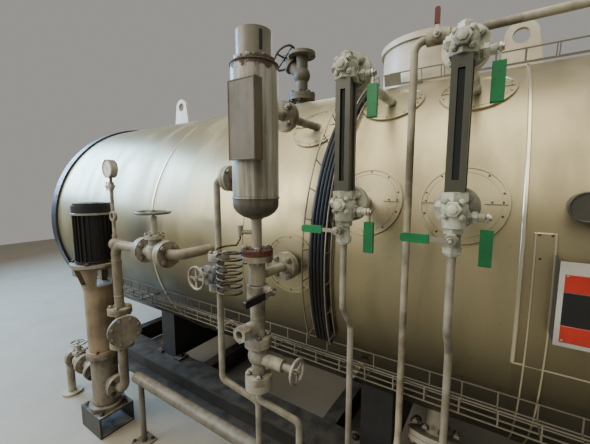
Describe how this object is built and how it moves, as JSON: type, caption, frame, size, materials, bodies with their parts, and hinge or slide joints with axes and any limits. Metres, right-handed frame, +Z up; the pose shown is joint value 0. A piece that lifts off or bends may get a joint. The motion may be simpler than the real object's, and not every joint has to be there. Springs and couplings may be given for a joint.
{
  "type": "industrial boiler",
  "caption": "Horizontal cylindrical steam boiler in a sheet jacket on a beam skid, with level gauges, a level chamber, valves, a vertical feed pump and wire cable trays.",
  "frame": {"origin": "on the floor under the middle of the shell, at the centre of the four skid anchor holes", "axes": "+X along the shell to the right end, -Y to the front with the fittings, +Z up"},
  "size_m": [3.7806, 2.0569, 2.438],
  "materials": {
    "sheet": "worn satin sheet metal with smears",
    "end_paint": "dark blue-black paint",
    "skid_paint": "grey-blue paint, dusty",
    "saddle_paint": "dark blue paint",
    "cream_paint": "cream-grey paint",
    "black_cast": "black paint",
    "plate": "bare brushed plate",
    "valve_brown": "brown heat-stained casting",
    "valve_grey": "grey painted casting, worn",
    "wheel_dark": "dark painted casting",
    "gauge_dark": "dark grey paint",
    "cock_paint": "grey-green paint",
    "lever_green": "green sleeve on a steel arm",
    "pipe_paint": "grey paint, rusting",
    "pipe_rust": "rusty steel",
    "chamber_paint": "pale paint with rust runs",
    "cap_grey": "grey paint",
    "lever_black": "black sleeve on a steel arm",
    "lever_red": "dark red sleeve",
    "tube_steel": "bare bent tube",
    "plinth_black": "black channel",
    "pump_cast": "dull grey casting",
    "pump_bronze": "brown-bronze paint",
    "motor_black": "black paint",
    "tray_zinc": "galvanised wire",
    "cable_black": "black cable sheath"
  },
  "bodies": {
    "plant": {"jacket": "sheet", "left_end": "end_paint", "right_end": "end_paint", "front_beam": "skid_paint", "rear_beam": "skid_paint", "cross_members": "skid_paint", "saddles": "saddle_paint", "lifting_lugs": "cream_paint", "manway": "cream_paint", "nozzle_covers": "cream_paint", "hand_hole": "black_cast", "name_plate": "plate", "blowdown_flange": "cream_paint", "steam_valve_body": "valve_brown", "gauge_left_body": "gauge_dark", "gauge_right_body": "gauge_dark", "gauge_left_cocks": "cock_paint", "gauge_right_cocks": "cock_paint", "gauge_drain_pipes": "pipe_paint", "level_chamber": "chamber_paint", "chamber_cap": "cap_grey", "sign_plate": "plate", "chamber_branches": "pipe_rust", "ball_valve_body": "valve_grey", "drain_valve_body": "valve_grey", "chamber_drain_pipe": "pipe_paint", "sample_pipe": "pipe_paint", "sample_valve_body": "valve_grey", "sample_coil": "tube_steel", "drain_header": "pipe_paint", "vent_pipe": "pipe_rust", "pump_plinth": "plinth_black", "pump_foot": "pump_cast", "pump_column": "pump_bronze", "pump_motor": "motor_black", "feed_line": "pipe_paint", "feed_valve_body": "valve_grey", "pressure_gauge": "valve_grey", "suction_line": "pipe_rust", "bottom_tray": "tray_zinc", "top_tray": "tray_zinc", "riser_tray": "tray_zinc", "cable_bundle": "cable_black"},
    "steam_valve_wheel": {"steam_valve_wheel": "wheel_dark"},
    "lever_left_top": {"lever_left_top": "lever_green"},
    "lever_left_bottom": {"lever_left_bottom": "lever_green"},
    "lever_left_drain": {"lever_left_drain": "lever_green"},
    "lever_right_top": {"lever_right_top": "lever_green"},
    "lever_right_bottom": {"lever_right_bottom": "lever_green"},
    "lever_right_drain": {"lever_right_drain": "lever_green"},
    "ball_valve_lever": {"ball_valve_lever": "lever_black"},
    "drain_valve_wheel": {"drain_valve_wheel": "valve_grey"},
    "sample_valve_wheel": {"sample_valve_wheel": "valve_grey"},
    "vent_lever": {"vent_lever": "lever_red"},
    "feed_valve_wheel": {"feed_valve_wheel": "valve_grey"},
    "gauge_cock_handle": {"gauge_cock_handle": "valve_grey"},
    "suction_wheel": {"suction_wheel": "valve_grey"}
  },
  "joints": [
    {"name": "steam_valve_wheel_turn", "type": "hinge", "parent": "plant", "child": "steam_valve_wheel", "pos_m": [-0.11496, 0, 2.36496], "axis": [-0.7071, 0, 0.7071], "range_deg": [-720, 720]},
    {"name": "turn_left_top", "type": "hinge", "parent": "plant", "child": "lever_left_top", "pos_m": [0.887, -0.987, 1.798], "axis": [1, 0, 0], "range_deg": [-90, 0]},
    {"name": "turn_left_bottom", "type": "hinge", "parent": "plant", "child": "lever_left_bottom", "pos_m": [0.887, -0.987, 1.398], "axis": [1, 0, 0], "range_deg": [-90, 0]},
    {"name": "turn_left_drain", "type": "hinge", "parent": "plant", "child": "lever_left_drain", "pos_m": [0.813, -1.0595, 1.344], "axis": [0, 1, 0], "range_deg": [-90, 0]},
    {"name": "turn_right_top", "type": "hinge", "parent": "plant", "child": "lever_right_top", "pos_m": [1.192, -0.987, 1.798], "axis": [1, 0, 0], "range_deg": [-90, 0]},
    {"name": "turn_right_bottom", "type": "hinge", "parent": "plant", "child": "lever_right_bottom", "pos_m": [1.192, -0.987, 1.398], "axis": [1, 0, 0], "range_deg": [-90, 0]},
    {"name": "turn_right_drain", "type": "hinge", "parent": "plant", "child": "lever_right_drain", "pos_m": [1.118, -1.0595, 1.344], "axis": [0, 1, 0], "range_deg": [-90, 0]},
    {"name": "ball_valve_lever_turn", "type": "hinge", "parent": "plant", "child": "ball_valve_lever", "pos_m": [0.572, -1.054, 1.107], "axis": [1, 0, 0], "range_deg": [-90, 0]},
    {"name": "drain_valve_wheel_turn", "type": "hinge", "parent": "plant", "child": "drain_valve_wheel", "pos_m": [0.671, -1.054, 0.843], "axis": [1, 0, 0], "range_deg": [-720, 720]},
    {"name": "sample_valve_wheel_turn", "type": "hinge", "parent": "plant", "child": "sample_valve_wheel", "pos_m": [0.305, -1.166, 1.14], "axis": [0, -1, 0], "range_deg": [-720, 720]},
    {"name": "vent_lever_turn", "type": "hinge", "parent": "plant", "child": "vent_lever", "pos_m": [1.045, -0.952, 1.88], "axis": [0, 1, 0], "range_deg": [-90, 0]},
    {"name": "feed_valve_wheel_turn", "type": "hinge", "parent": "plant", "child": "feed_valve_wheel", "pos_m": [-0.15, -1.035, 1.35], "axis": [0, 0, 1], "range_deg": [-720, 720]},
    {"name": "gauge_cock_handle_turn", "type": "hinge", "parent": "plant", "child": "gauge_cock_handle", "pos_m": [-0.566, -1.035, 1.472], "axis": [1, 0, 0], "range_deg": [0, 90]},
    {"name": "suction_wheel_turn", "type": "hinge", "parent": "plant", "child": "suction_wheel", "pos_m": [-1.09, -1.035, 0.425], "axis": [0, 0, 1], "range_deg": [-720, 720]}
  ]
}
